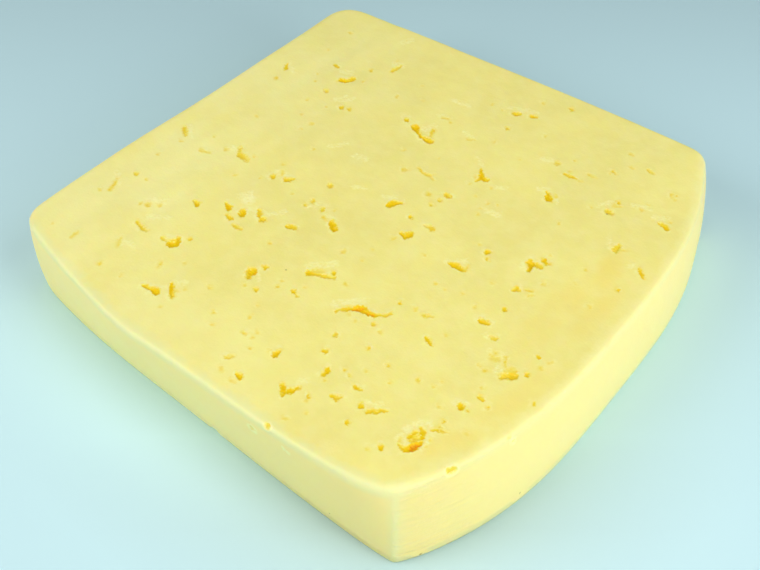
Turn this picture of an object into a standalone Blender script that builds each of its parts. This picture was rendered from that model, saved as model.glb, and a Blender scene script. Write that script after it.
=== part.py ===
"""A square slab of tilsit cheese with small irregular eyes. Metres, +Z up.

The slab stands on the ground with its middle over the origin. Its four sides are the left
front (facing -Y), the right front (+X), the back right (+Y) and the back left (-X). Every
ring of the loft is one outline: four bowed sides joined by rounded corners.
"""

import math

import bmesh
import bpy
from mathutils import Matrix, Vector, noise

MM = 0.001

# Driving sizes, in millimetres
THICKNESS = 38.0

# Corners in order left, front, right, back. Side n runs from corner n to the next one.
RIM_CORNERS = ((-107.3, -101.2), (92.5, -106.1), (85.8, 113.5), (-115.8, 106.0))
# Each side's bow, skew and ripple, how far it bulges near its start and near its end, and
# the height of a soft bump before its middle
RIM_BENDS = (
    (11.0, -0.2, 0.6, -0.6, 2.4, 1.7),
    (23.6, -0.5, 1.6, 0.8, -0.5, 0.0),
    (2.0, -0.5, 0.0, 0.6, 0.2, 0.0),
    (0.5, 1.3, 0.3, 0.0, 0.5, 0.0),
)
RIM_ROUNDING = (10.0, 1.6, 7.8, 14.6)
# How much rounder each corner of the top is than the edge of the wall below it
TOP_ROUNDING = (0.0, 6.4, 0.0, 0.0)

FOOT_CORNERS = ((-110.5, -99.6), (94.5, -108.8), (93.5, 108.8), (-113.4, 104.9))
FOOT_BENDS = (
    (4.6, -1.0, 0.5, 0.0, 0.6, 0.0),
    (21.5, -1.9, 1.8, 1.0, -0.5, 0.0),
    (1.2, -0.2, 0.0, 0.0, 0.0, 0.0),
    (-0.8, 1.1, 0.0, 0.0, 0.0, 0.0),
)
FOOT_ROUNDING = (14.0, 1.4, 6.2, 14.0)
BULGE_REACH = 14.0
BUMP_SHARE = 0.39
BUMP_SPREAD = 0.11
# How far the walls swell out at half their height
WALL_SWELL = 1.2
# The rim droops this far more at the front corner
CORNER_DROOP = 0.5
DROOP_REACH = 13.0

RIM_DROP = 1.6
RIM_INSET = (1.6, 1.5, 1.5, 1.5)
RIM_STEPS = 3
FOOT_EDGE = 0.6
LEAST_ROUNDING = 1.0

SIDE_POINTS = 16
CORNER_POINTS = 4
WALL_LEVELS = (0.25, 0.5, 0.75)
TOP_RINGS = (0.94, 0.82, 0.66, 0.48, 0.28)

RELIEF_HEIGHT = 0.45
RELIEF_WAVE = 42.0
WALL_RELIEF = 0.35
WALL_WAVE = 24.0

# Each eye: its middle x and y, its length and width at the surface, and its turn in degrees
FRONT_EYES = (
    (83.8, -90.2, 6.0, 1.6, 10),
    (85.8, -88.2, 4.6, 2.5, 60),
    (82.8, -86.2, 2.4, 2.0, 0),
    (84.8, -82.7, 3.7, 2.4, 139),
    (77.8, -95.7, 1.7, 1.7, 0),
    (87.8, -77.2, 3.6, 1.2, 60),
    (66.8, -85.2, 7.7, 1.3, 46),
    (52.3, -89.2, 4.0, 1.5, 45),
    (36.0, -99.0, 5.3, 2.1, 135),
    (38.8, -96.2, 4.8, 1.5, 58),
    (22.3, -87.7, 3.6, 2.3, 87),
    (35.3, -76.2, 2.4, 1.4, 30),
    (42.1, -83.5, 3.2, 1.8, 110),
    (19.8, -103.7, 3.0, 2.0, 0),
    (92.3, -43.4, 6.9, 2.6, 41),
    (91.1, -41.2, 4.9, 2.4, 38),
    (83.6, -40.0, 4.8, 2.0, 30),
    (87.3, -65.2, 2.0, 2.0, 0),
    (90.8, -57.7, 2.8, 1.4, 135),
)
MIDDLE_EYES = (
    (27.3, -56.5, 7.3, 1.2, 49),
    (31.6, -52.5, 4.6, 2.2, 10),
    (35.6, -51.8, 5.0, 1.5, 12),
    (39.9, -49.2, 6.8, 1.1, 54),
    (40.8, -40.2, 1.6, 1.6, 0),
    (60.5, -48.5, 4.3, 1.4, 163),
    (-13.1, -65.2, 5.7, 2.7, 102),
    (-11.0, -58.7, 3.3, 1.8, 43),
    (-5.2, -70.2, 1.9, 1.9, 0),
    (7.3, -61.8, 4.4, 1.4, 170),
    (3.6, -50.6, 2.9, 2.2, 30),
    (8.8, -48.5, 9.4, 1.5, 27),
    (2.6, 1.6, 6.4, 2.4, 57),
    (22.8, -0.2, 4.6, 2.0, 2),
    (18.6, -10.5, 4.8, 2.3, 10),
    (13.3, -0.2, 1.8, 1.8, 0),
    (49.6, 3.4, 3.0, 2.0, 20),
    (45.3, -11.2, 6.6, 2.3, 9),
    (51.8, -0.2, 1.5, 1.5, 0),
    (66.5, 7.5, 5.2, 2.8, 125),
    (69.3, 9.6, 3.6, 1.8, 9),
    (69.8, 13.2, 3.0, 1.7, 125),
    (70.0, -6.9, 3.6, 1.7, 47),
    (72.3, -18.2, 1.8, 1.8, 0),
    (70.3, -28.2, 4.5, 1.6, 14),
)
LEFT_EYES = (
    (-65.9, -73.6, 8.2, 2.0, 170),
    (-48.9, -71.2, 6.2, 3.2, 85),
    (-35.0, -95.2, 5.2, 2.4, 0),
    (-38.7, -95.2, 4.4, 1.1, 0),
    (-29.9, -90.4, 7.4, 2.0, 138),
    (-43.5, -84.5, 4.4, 1.9, 110),
    (-59.5, -49.6, 4.4, 2.3, 170),
    (-93.2, -53.2, 1.8, 1.8, 0),
    (-99.2, -19.5, 7.6, 2.0, 145),
    (-75.2, -17.2, 2.2, 2.2, 0),
    (-70.9, -13.3, 3.8, 1.7, 125),
    (-65.8, -16.2, 7.4, 2.6, 177),
    (-47.2, -17.7, 2.0, 2.0, 0),
    (-40.3, -14.4, 4.3, 1.8, 48),
    (-47.7, -43.2, 4.6, 2.4, 152),
    (-43.2, -47.1, 3.8, 1.9, 168),
    (-40.7, -42.2, 3.0, 3.0, 0),
    (-35.3, -37.5, 4.5, 1.9, 141),
    (-31.5, -39.8, 3.1, 2.0, 24),
    (-36.2, -49.7, 4.5, 1.4, 1),
    (-19.3, -35.6, 4.8, 1.8, 28),
)
BACK_EYES = (
    (-24.7, -5.7, 2.4, 2.2, 0),
    (-24.2, -18.2, 2.0, 2.0, 0),
    (-17.7, -19.2, 2.3, 2.2, 0),
    (-7.4, -24.0, 5.8, 2.8, 141),
    (-70.9, 54.8, 4.6, 2.0, 15),
    (-68.8, 57.2, 3.8, 2.5, 80),
    (-58.2, 77.9, 7.7, 2.1, 83),
    (-71.2, 43.3, 2.2, 2.2, 0),
    (-57.7, 38.3, 2.0, 2.0, 0),
    (-29.2, 49.8, 2.4, 2.2, 0),
    (-22.0, 47.0, 4.6, 2.8, 150),
    (-17.1, 44.3, 4.0, 1.2, 165),
    (-12.5, 44.1, 4.8, 2.4, 10),
    (-14.2, 49.3, 5.4, 1.5, 106),
    (1.2, 25.5, 9.4, 1.5, 171),
    (21.7, 38.3, 5.4, 2.2, 172),
    (18.8, 41.1, 4.2, 1.1, 135),
    (16.8, 19.8, 3.6, 2.0, 174),
    (6.3, 84.8, 4.3, 2.1, 45),
    (12.8, 88.0, 3.8, 1.8, 25),
    (48.3, 63.1, 6.0, 1.3, 4),
    (48.6, 46.0, 5.0, 2.8, 136),
    (73.3, 54.1, 4.1, 2.2, 4),
    (94.5, 60.7, 5.0, 2.0, 161),
    (87.3, 37.4, 5.2, 2.4, 88),
    (101.7, 30.8, 5.4, 1.4, 138),
)

# The wide dish is shallow, and its depth is given instead of worked out
DISH = (-44.2, -34.7, 8.0, 5.4, 40)
DISH_DEPTH = 0.8

EYE_DEPTH_PER_WIDTH = 0.85
LEAST_EYE_DEPTH = 1.1
MOST_EYE_DEPTH = 2.4
EYE_ROUGHNESS = 0.16

# A nick in the foot of the left front side
NICK_X = 7.3
NICK_LENGTH = 5.0
NICK_DEPTH = 2.0
NICK_HEIGHT = 1.8

SMOOTH_ANGLE = math.radians(40)
PASTE_COLOR = (0.86, 0.77, 0.28, 1.0)
PASTE_ROUGHNESS = 0.5


def clear_scene():
    for obj in list(bpy.data.objects):
        bpy.data.objects.remove(obj, do_unlink=True)


def new_collection(name):
    collection = bpy.data.collections.new(name)
    bpy.context.scene.collection.children.link(collection)
    return collection


def mix(a, b, share):
    return a + (b - a) * share


def offset_corners(corners, insets):
    """The corners after each side has moved in by its own inset, along its straight chord."""
    moved = []
    for n in range(4):
        before, here, after = (Vector(corners[k % 4]) for k in (n - 1, n, n + 1))
        chord_in = (here - before).normalized()
        chord_out = (after - here).normalized()
        inset_in = insets[(n - 1) % 4]
        inset_out = insets[n]
        turn = chord_in.x * chord_out.y - chord_in.y * chord_out.x
        moved.append(here + (chord_in * -inset_out + chord_out * inset_in) * (1 / turn))
    return moved


def side_point(start, end, bow, skew, ripple, early, late, bump, share):
    """A point on a bowed side, at its share of the way from corner to corner.

    The bow pushes the middle out, the skew moves that bulge along, and the ripple pushes the
    two ends out and the middle in. The early and the late bulge lie close to the two corners,
    and the bump lies at its own share of the way.
    """
    along = end - start
    outward = Vector((along.y, -along.x)).normalized()
    hump = 4 * bow * share * (1 - share)
    lean = 16 * skew * share * (1 - share) * (share - 0.5)
    wave = ripple * math.sin(3 * math.pi * share)
    from_start = along.length * share / BULGE_REACH
    from_end = along.length * (1 - share) / BULGE_REACH
    bulge = early * from_start * math.exp(1 - from_start)
    bulge += late * from_end * math.exp(1 - from_end)
    bulge += bump * math.exp(-(((share - BUMP_SHARE) / BUMP_SPREAD) ** 2))
    return start + along * share + outward * (hump + lean + wave + bulge)


def outline(corners, bends, roundings):
    """The closed outline, counterclockwise: each side's points, then its corner as an arc."""
    ends = []
    for n in range(4):
        start, end = Vector(corners[n]), Vector(corners[(n + 1) % 4])
        length = (end - start).length
        first = roundings[n] / length
        last = 1 - roundings[(n + 1) % 4] / length
        shares = [mix(first, last, k / (SIDE_POINTS - 1)) for k in range(SIDE_POINTS)]
        ends.append([side_point(start, end, *bends[n], share) for share in shares])
    points = []
    for n in range(4):
        points += ends[n]
        points += corner_arc(ends[n], ends[(n + 1) % 4])
    return points


def corner_arc(side, next_side):
    """The points between two sides, on a curve that leaves each along its own tangent."""
    start, end = side[-1], next_side[0]
    leaving = (side[-1] - side[-2]).normalized()
    arriving = (next_side[1] - next_side[0]).normalized()
    gap = end - start
    turn = leaving.x * arriving.y - leaving.y * arriving.x
    crossing = start + leaving * ((gap.x * arriving.y - gap.y * arriving.x) / turn)
    points = []
    for k in range(1, CORNER_POINTS + 1):
        t = k / (CORNER_POINTS + 1)
        points.append(start * (1 - t) ** 2 + crossing * (2 * t * (1 - t)) + end * t * t)
    return points


def outline_at(level, insets=(0, 0, 0, 0), top_share=0.0):
    """The outline at a share of the height, 0 at the foot and 1 at the rim.

    The top share is how far the corners have gone over to the rounding of the top.
    """
    corners = [
        Vector(foot).lerp(Vector(rim), level) for foot, rim in zip(FOOT_CORNERS, RIM_CORNERS)
    ]
    bends = [
        [mix(a, b, level) for a, b in zip(foot, rim)] for foot, rim in zip(FOOT_BENDS, RIM_BENDS)
    ]
    wide = [mix(a, b, level) for a, b in zip(FOOT_ROUNDING, RIM_ROUNDING)]
    roundings = [
        max(rounding - max(insets[n - 1], insets[n]), LEAST_ROUNDING)
        + TOP_ROUNDING[n] * top_share
        for n, rounding in enumerate(wide)
    ]
    return outline(offset_corners(corners, insets), bends, roundings)


def relief(x, y):
    """The gentle rise and fall of the top face."""
    return RELIEF_HEIGHT * noise.noise(Vector((x, y, 0)) / RELIEF_WAVE)


def wall_wave(point, height):
    return WALL_RELIEF * noise.noise(Vector((point.x, point.y, height)) / WALL_WAVE)


def droop(point, share):
    """How far the rim hangs down near the front corner, for its share of the full drop."""
    distance = (Vector((point.x, point.y)) - Vector(RIM_CORNERS[1])).length
    return CORNER_DROOP * share * math.exp(-((distance / DROOP_REACH) ** 2))


def rings():
    """Every ring of the loft from the foot to the middle of the top, as lists of 3-D points."""
    found = []

    def add(points, height):
        found.append([Vector((p.x, p.y, height)) for p in points])

    add(outline_at(0, (FOOT_EDGE,) * 4), 0)
    add(outline_at(0), FOOT_EDGE)
    for level in WALL_LEVELS:
        height = mix(FOOT_EDGE, THICKNESS - RIM_DROP, level)
        swell = WALL_SWELL * 4 * level * (1 - level)
        points = outline_at(level)
        add([p + p.normalized() * (swell + wall_wave(p, height)) for p in points], height)
    for step in range(RIM_STEPS + 1):
        angle = math.pi / 2 * step / RIM_STEPS
        turned_in = 1 - math.cos(angle)
        insets = [inset * turned_in for inset in RIM_INSET]
        share = 1 - math.sin(angle)
        add(outline_at(1, insets, turned_in), THICKNESS - RIM_DROP * share)
        for p in found[-1]:
            p.z -= droop(p, share)
    top_edge = found[-1]
    for p in top_edge:
        p.z += relief(p.x, p.y)
    for share in TOP_RINGS:
        found.append(
            [
                Vector((p.x * share, p.y * share, THICKNESS + relief(p.x * share, p.y * share)))
                for p in top_edge
            ]
        )
    return found


def make_slab(collection):
    """The plain slab, as a loft through all rings with a flat foot and a fan in the middle."""
    bm = bmesh.new()
    loops = [[bm.verts.new(p * MM) for p in ring] for ring in rings()]
    count = len(loops[0])
    for lower, upper in zip(loops, loops[1:]):
        for k in range(count):
            after = (k + 1) % count
            bm.faces.new((lower[k], lower[after], upper[after], upper[k]))
    bm.faces.new(reversed(loops[0]))
    middle = bm.verts.new(Vector((0, 0, THICKNESS + relief(0, 0))) * MM)
    for k in range(count):
        bm.faces.new((loops[-1][k], loops[-1][(k + 1) % count], middle))
    bmesh.ops.triangulate(bm, faces=bm.faces[:])
    mesh = bpy.data.meshes.new("cheese")
    bm.to_mesh(mesh)
    bm.free()
    slab = bpy.data.objects.new("cheese", mesh)
    collection.objects.link(slab)
    return slab


def add_cutter(collection, name, middle, half_sizes, turn, roughness):
    """A blob: an icosphere stretched to its half sizes, turned, and roughened by noise."""
    bm = bmesh.new()
    bmesh.ops.create_icosphere(bm, subdivisions=2 if max(half_sizes) > 2.9 else 1, radius=1.0)
    spot = Vector(middle)
    for vert in bm.verts:
        swell = 1 + roughness * noise.noise(vert.co * 1.7 + spot)
        vert.co *= swell
    stretch = Matrix.Diagonal(Vector(half_sizes)).to_4x4()
    place = Matrix.Translation(spot) @ Matrix.Rotation(math.radians(turn), 4, "Z") @ stretch
    bmesh.ops.transform(bm, matrix=Matrix.Scale(MM, 4) @ place, verts=bm.verts)
    mesh = bpy.data.meshes.new(name)
    bm.to_mesh(mesh)
    bm.free()
    cutter = bpy.data.objects.new(name, mesh)
    cutter.hide_render = True
    cutter.display_type = "WIRE"
    collection.objects.link(cutter)
    return cutter


def eye_depth(width):
    return min(max(width * EYE_DEPTH_PER_WIDTH, LEAST_EYE_DEPTH), MOST_EYE_DEPTH)


def make_cutters(collection):
    """One blob for each eye, one for the shallow dish, and one for the nick in the foot."""
    for n, (x, y, length, width, turn) in enumerate(
        FRONT_EYES + MIDDLE_EYES + LEFT_EYES + BACK_EYES
    ):
        middle = (x, y, THICKNESS + relief(x, y))
        half_sizes = (length / 2, width / 2, eye_depth(width))
        add_cutter(collection, f"eye_cutter_{n}", middle, half_sizes, turn, EYE_ROUGHNESS)
    x, y, length, width, turn = DISH
    middle = (x, y, THICKNESS + relief(x, y))
    half_sizes = (length / 2, width / 2, DISH_DEPTH)
    add_cutter(collection, "dish_cutter", middle, half_sizes, turn, EYE_ROUGHNESS)
    start, end = Vector(FOOT_CORNERS[0]), Vector(FOOT_CORNERS[1])
    share = (NICK_X - start.x) / (end.x - start.x)
    spot = side_point(start, end, *FOOT_BENDS[0], share)
    half_sizes = (NICK_LENGTH / 2, NICK_DEPTH, NICK_HEIGHT)
    add_cutter(collection, "nick_cutter", (spot.x, spot.y, 0), half_sizes, 0, 0)


def cut(slab, cutters):
    """Takes the cutters out of the slab for good, drops loose scraps and removes the cutters."""
    modifier = slab.modifiers.new("eyes", "BOOLEAN")
    modifier.operation = "DIFFERENCE"
    modifier.solver = "EXACT"
    modifier.operand_type = "COLLECTION"
    modifier.collection = cutters
    bpy.context.view_layer.update()
    graph = bpy.context.evaluated_depsgraph_get()
    result = bpy.data.meshes.new_from_object(slab.evaluated_get(graph))
    slab.modifiers.remove(modifier)
    slab.data = result
    result.name = "cheese"
    for cutter in list(cutters.objects):
        bpy.data.objects.remove(cutter, do_unlink=True)
    bpy.data.collections.remove(cutters)
    keep_largest_piece(result)


def keep_largest_piece(mesh):
    bm = bmesh.new()
    bm.from_mesh(mesh)
    unseen = set(bm.verts)
    pieces = []
    while unseen:
        piece = {unseen.pop()}
        edge_of_search = list(piece)
        while edge_of_search:
            vert = edge_of_search.pop()
            near = {edge.other_vert(vert) for edge in vert.link_edges} & unseen
            unseen -= near
            piece |= near
            edge_of_search += near
        pieces.append(piece)
    largest = max(pieces, key=len)
    loose = [vert for vert in bm.verts if vert not in largest]
    bmesh.ops.delete(bm, geom=loose, context="VERTS")
    bm.to_mesh(mesh)
    bm.free()


def paste_material():
    material = bpy.data.materials.new("cheese_paste")
    material.use_nodes = True
    shader = material.node_tree.nodes["Principled BSDF"]
    shader.inputs["Base Color"].default_value = PASTE_COLOR
    shader.inputs["Roughness"].default_value = PASTE_ROUGHNESS
    shader.inputs["Metallic"].default_value = 0.0
    return material


def main():
    clear_scene()
    slab = make_slab(new_collection("tilsit_cheese"))
    cutters = new_collection("cutters")
    make_cutters(cutters)
    cut(slab, cutters)
    slab.data.materials.clear()
    slab.data.materials.append(paste_material())
    slab.data.shade_smooth()
    slab.data.set_sharp_from_angle(angle=SMOOTH_ANGLE)


main()
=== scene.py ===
"""The looks of a square slab of tilsit cheese: its torn eyes, its paste and the stage."""

import math

import bmesh
import bpy
import numpy as np
from bpy.props import FloatProperty, FloatVectorProperty, IntProperty, PointerProperty
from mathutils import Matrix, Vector, noise


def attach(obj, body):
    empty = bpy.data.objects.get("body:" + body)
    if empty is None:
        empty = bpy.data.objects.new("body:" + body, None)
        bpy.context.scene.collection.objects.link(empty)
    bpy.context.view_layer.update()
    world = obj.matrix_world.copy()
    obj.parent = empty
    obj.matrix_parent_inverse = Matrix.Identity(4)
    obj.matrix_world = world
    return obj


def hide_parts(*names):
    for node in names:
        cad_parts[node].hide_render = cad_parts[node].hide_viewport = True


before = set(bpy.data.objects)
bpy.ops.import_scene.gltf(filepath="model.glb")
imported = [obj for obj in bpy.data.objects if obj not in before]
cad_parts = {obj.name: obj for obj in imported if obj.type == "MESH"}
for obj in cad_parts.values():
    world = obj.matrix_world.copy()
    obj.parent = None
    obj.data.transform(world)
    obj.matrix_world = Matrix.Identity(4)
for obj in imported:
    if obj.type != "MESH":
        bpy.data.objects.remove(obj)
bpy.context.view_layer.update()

bl_info = {
    "name": "Tilsit cheese slab",
    "version": (1, 0, 0),
    "blender": (4, 5, 0),
    "location": "View3D > Sidebar > Cheese",
    "description": "Builds a slab of tilsit cheese with torn eyes",
    "category": "Add Mesh",
}

MM = 0.001
THICKNESS = 38.0
RIM_DROP = 1.6
FOOT_EDGE = 0.6
LEAST_ROUNDING = 1.0

# Corners in order left, front, right, back. Side n runs from corner n to the next one.
RIM_CORNERS = ((-107.3, -101.2), (92.5, -106.1), (85.8, 113.5), (-115.8, 106.0))
# Each side's bow, skew and ripple, how far it bulges near its start and near its end, and
# the height of a soft bump before its middle
RIM_BENDS = (
    (11.0, -0.2, 0.6, -0.6, 2.4, 1.7),
    (23.6, -0.5, 1.6, 0.8, -0.5, 0.0),
    (2.0, -0.5, 0.0, 0.6, 0.2, 0.0),
    (0.5, 1.3, 0.3, 0.0, 0.5, 0.0),
)
RIM_ROUNDING = (10.0, 1.6, 7.8, 14.6)
RIM_INSET = (1.6, 1.5, 1.5, 1.5)
# How much rounder each corner of the top is than the edge of the wall below it
TOP_ROUNDING = (0.0, 6.4, 0.0, 0.0)

FOOT_CORNERS = ((-110.5, -99.6), (94.5, -108.8), (93.5, 108.8), (-113.4, 104.9))
FOOT_BENDS = (
    (4.6, -1.0, 0.5, 0.0, 0.6, 0.0),
    (21.5, -1.9, 1.8, 1.0, -0.5, 0.0),
    (1.2, -0.2, 0.0, 0.0, 0.0, 0.0),
    (-0.8, 1.1, 0.0, 0.0, 0.0, 0.0),
)
FOOT_ROUNDING = (14.0, 1.4, 6.2, 14.0)
BULGE_REACH = 14.0
BUMP_SHARE = 0.39
BUMP_SPREAD = 0.11
# How far the walls swell out at half their height
WALL_SWELL = 1.2
CORNER_WARMTH_REACH = 28.0
# How far in from the rim the painted highlight band on the top reaches beside the two front sides
RIM_HIGHLIGHT_REACH = 7.0
# The rim droops this far more at the front corner
CORNER_DROOP = 0.5
DROOP_REACH = 13.0
DROOP_FADE = 6

# Each side of the slab has this many cells, and this many of them lie on each half corner
SIDE_CELLS = 104
CORNER_CELLS = 4
RIM_STEPS = 4
WALL_STEPS = 12
# Above 1, the rings of the wall lie closer together near the rim
WALL_CROWDING = 1.4
# Around the eyes the top is split again where it is nearer than these to an eye's edge
SPLIT_REACHES = (2.8, 1.6, 0.9)

RELIEF_HEIGHT = 0.45
RELIEF_WAVE = 42.0
# Soft streaks along the back left side: their height, their wave, and how they are drawn out
STREAK_HEIGHT = 0.35
STREAK_WAVE = 9.0
STREAK_SHAPE = (1.0, 0.16, 0.0)
WALL_RELIEF = 0.35
WALL_WAVE = 24.0

# The camera in millimetres, on the side of the front corner
CAMERA_PLACE = (218.27, -263.72, 332.86)
CAMERA_TARGET = (28.73, -37.85, 38.0)
CAMERA_FOCUS_PX = 1100.0
PHOTO_WIDTH_PX = 760.0
SENSOR_MM = 36.0
# The way across the top that leads away from the camera
AWAY = (-0.643, 0.766)
AWAY_SQUEEZE = 0.72

# Each eye is a chain of places: x, y and half its width there, in millimetres. It is darkest
# at its first place.
DEEPEST_EYES = (
    ((86, -89, 1.3), (86.5, -87, 0.8), (87, -85.5, 0.3)),
    ((29.5, -54, 0.6), (30, -53, 0.9), (31.5, -52, 1.1), (33.5, -52, 0.9), (35.5, -52, 0.7),
        (37.5, -51.5, 0.5)),
)
DARK_EYES = (
    ((-33.5, -95, 1.3), (-35.5, -95, 0.9), (-38, -95.5, 0.5), (-40, -95.5, 0.4)),
    ((-32, -88.5, 0.5), (-30.5, -89.5, 1.0), (-29, -91, 0.8), (-27.5, -92.5, 1.1)),
    ((-13, -63.5, 1.3), (-14, -64.5, 1.3), (-12.5, -66.5, 1.1)),
    ((69, -28.5, 0.8), (70.5, -28, 0.8), (72, -27.5, 0.7)), ((20.5, -104, 1.0), (18.5, -104, 0.4)),
    ((22.5, -88.5, 1.1), (22.5, -86.5, 0.7)), ((42, -82.5, 0.9), (42, -84.5, 0.6)),
    ((34.5, -97.5, 0.8), (36.5, -99, 1.0), (37.5, -100.5, 0.6)),
    ((38, -98, 0.7), (39, -96.5, 0.6), (39.5, -94.5, 0.4)), ((61.5, -87, 0.8),),
    ((59, -48, 0.5), (60.5, -48.5, 0.7), (62, -49, 0.6)),
    ((85.5, -90, 0.8), (84.5, -91.5, 0.7), (83, -91.5, 0.4), (81.5, -91, 0.3)),
    ((85.5, -83.5, 0.8), (84, -82, 0.9), (83, -81, 0.4)), ((78, -96, 0.8),), ((87.5, -65, 1.0),),
    ((-49, -73, 1.7), (-48, -71.5, 1.6), (-49, -69.5, 0.9)),
    ((-47, -43.5, 1.3), (-48.5, -43, 0.7), (-50, -42, 0.5)), ((-40.5, -42, 1.5),),
    ((-6, -25, 1.4), (-9, -23, 1.0)),
    ((-22.5, 47.5, 1.5), (-19.5, 45.5, 0.5), (-16, 44, 0.7), (-12.5, 44, 1.2), (-11, 44, 1.0)),
    ((17.5, 42, 0.4), (19, 40.5, 0.6), (20.5, 38.5, 1.1), (22.5, 38, 0.9), (23.5, 38.5, 0.8)),
    ((2, -0.5, 0.8), (2.5, 1.5, 1.3), (3.5, 3, 0.7), (5, 4, 0.5)),
    ((20, -8.5, 1.0), (19, -10.5, 1.1), (16.5, -10.5, 0.6)),
    ((42.5, -11.5, 0.6), (45, -11, 1.2), (47.5, -11, 0.8)), ((49.5, 45.5, 1.4), (47, 48, 0.6)),
    ((96, 60, 1.0), (94.5, 61, 0.8), (93, 61, 0.9)), ((66, 8.5, 1.5), (67.5, 5.5, 0.7)),
    ((69, 13.5, 0.9), (70.5, 12.5, 0.6)), ((-72, 54, 0.9), (-69.5, 55, 0.9), (-68.5, 58, 1.3)),
)
MIDDLING_EYES = (
    ((-12, -59.5, 0.5), (-11, -59, 0.9), (-10.5, -58, 0.5)), ((-5.5, -70, 0.9),),
    ((6, -61.5, 0.8), (7.5, -62, 0.3), (9, -62.5, 0.6)),
    ((3.5, -50.5, 1.0), (6, -49.5, 0.5), (8, -48.5, 0.6), (10.5, -47.5, 0.6), (13, -46, 0.7)),
    ((69, -8, 0.4), (69.5, -6, 0.9), (71, -6, 0.5)), ((72.5, -18, 0.9),),
    ((100, 32.5, 0.6), (102, 30.5, 0.7), (103.5, 29.5, 0.5)), ((99.5, 17.5, 0.7),),
    ((34.5, -76.5, 0.5), (35.5, -76, 0.7)), ((45, -95.5, 0.5), (44, -94.5, 0.4)),
    ((51, -90, 0.6), (52.5, -89.5, 0.7), (53.5, -88.5, 0.5)), ((54.5, -82, 0.6), (57, -81.5, 0.4)),
    ((64.5, -88, 0.4), (65.5, -86.5, 0.5), (67, -85.5, 0.6), (68, -84, 0.5), (69.5, -83, 0.4)),
    ((29, -54, 0.6), (27.5, -55.5, 0.6), (26.5, -57, 0.4), (25, -59, 0.4)),
    ((37.5, -51.5, 0.5), (39.5, -50, 0.3), (41, -48.5, 0.4), (41.5, -46.5, 0.4)),
    ((40.5, -40.5, 0.7),), ((82.5, -86.5, 0.7), (82.5, -84.5, 0.6), (83, -83.5, 0.5)),
    ((88, -78, 0.4), (87, -78.5, 0.3), (86, -79.5, 0.2)),
    ((101.5, -89, 0.7), (102, -87.5, 0.8)),
    ((94.5, -42, 0.8), (93, -43, 1.3), (91.5, -44, 1.3), (90.5, -45.5, 0.8)), ((97, -39, 0.8),),
    ((95.5, -29.5, 0.7),), ((90, -57.5, 0.7), (91.5, -58, 0.6)),
    ((-58.5, -50, 1.2), (-61, -49.5, 0.5)), ((-47, -17.5, 1.0),),
    ((-34.5, -38.5, 1.0), (-36.5, -36.5, 0.6)), ((-32, -40, 0.9), (-31, -39.5, 1.0)),
    ((-98, 44, 0.9), (-100, 47, 0.5)),
    ((-41.5, -15.5, 0.8), (-40.5, -14.5, 0.9), (-39.5, -13, 0.4)),
    ((-21, -36.5, 0.7), (-19.5, -35.5, 0.9), (-18, -35, 0.8)), ((20.5, 37, 0.8), (20, 35, 0.5)),
    ((16, 20, 0.8), (17.5, 20, 1.0)), ((13.5, -0.5, 0.9),), ((49, 3, 1.0), (50, 4, 0.5)),
    ((5, 84, 0.8), (6, 84.5, 1.0), (7, 86, 0.7)), ((12, 87.5, 0.9), (14, 88.5, 0.6)),
    ((46, 63, 0.5), (48.5, 63, 0.6), (51, 63.5, 0.4)), ((-82, 61, 0.7), (-80, 61, 0.7)),
    ((-57.5, 38, 1.0),), ((-29, 49.5, 1.1),), ((11, -44.5, 0.8),), ((53.5, -90.5, 0.4),),
    ((62.5, -95.5, 0.7),), ((-42, -47.5, 0.9), (-44.5, -47, 0.6)), ((73, 61.5, 0.7),),
    ((68, 9.5, 0.9), (70, 9.5, 0.8)),
)
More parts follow.
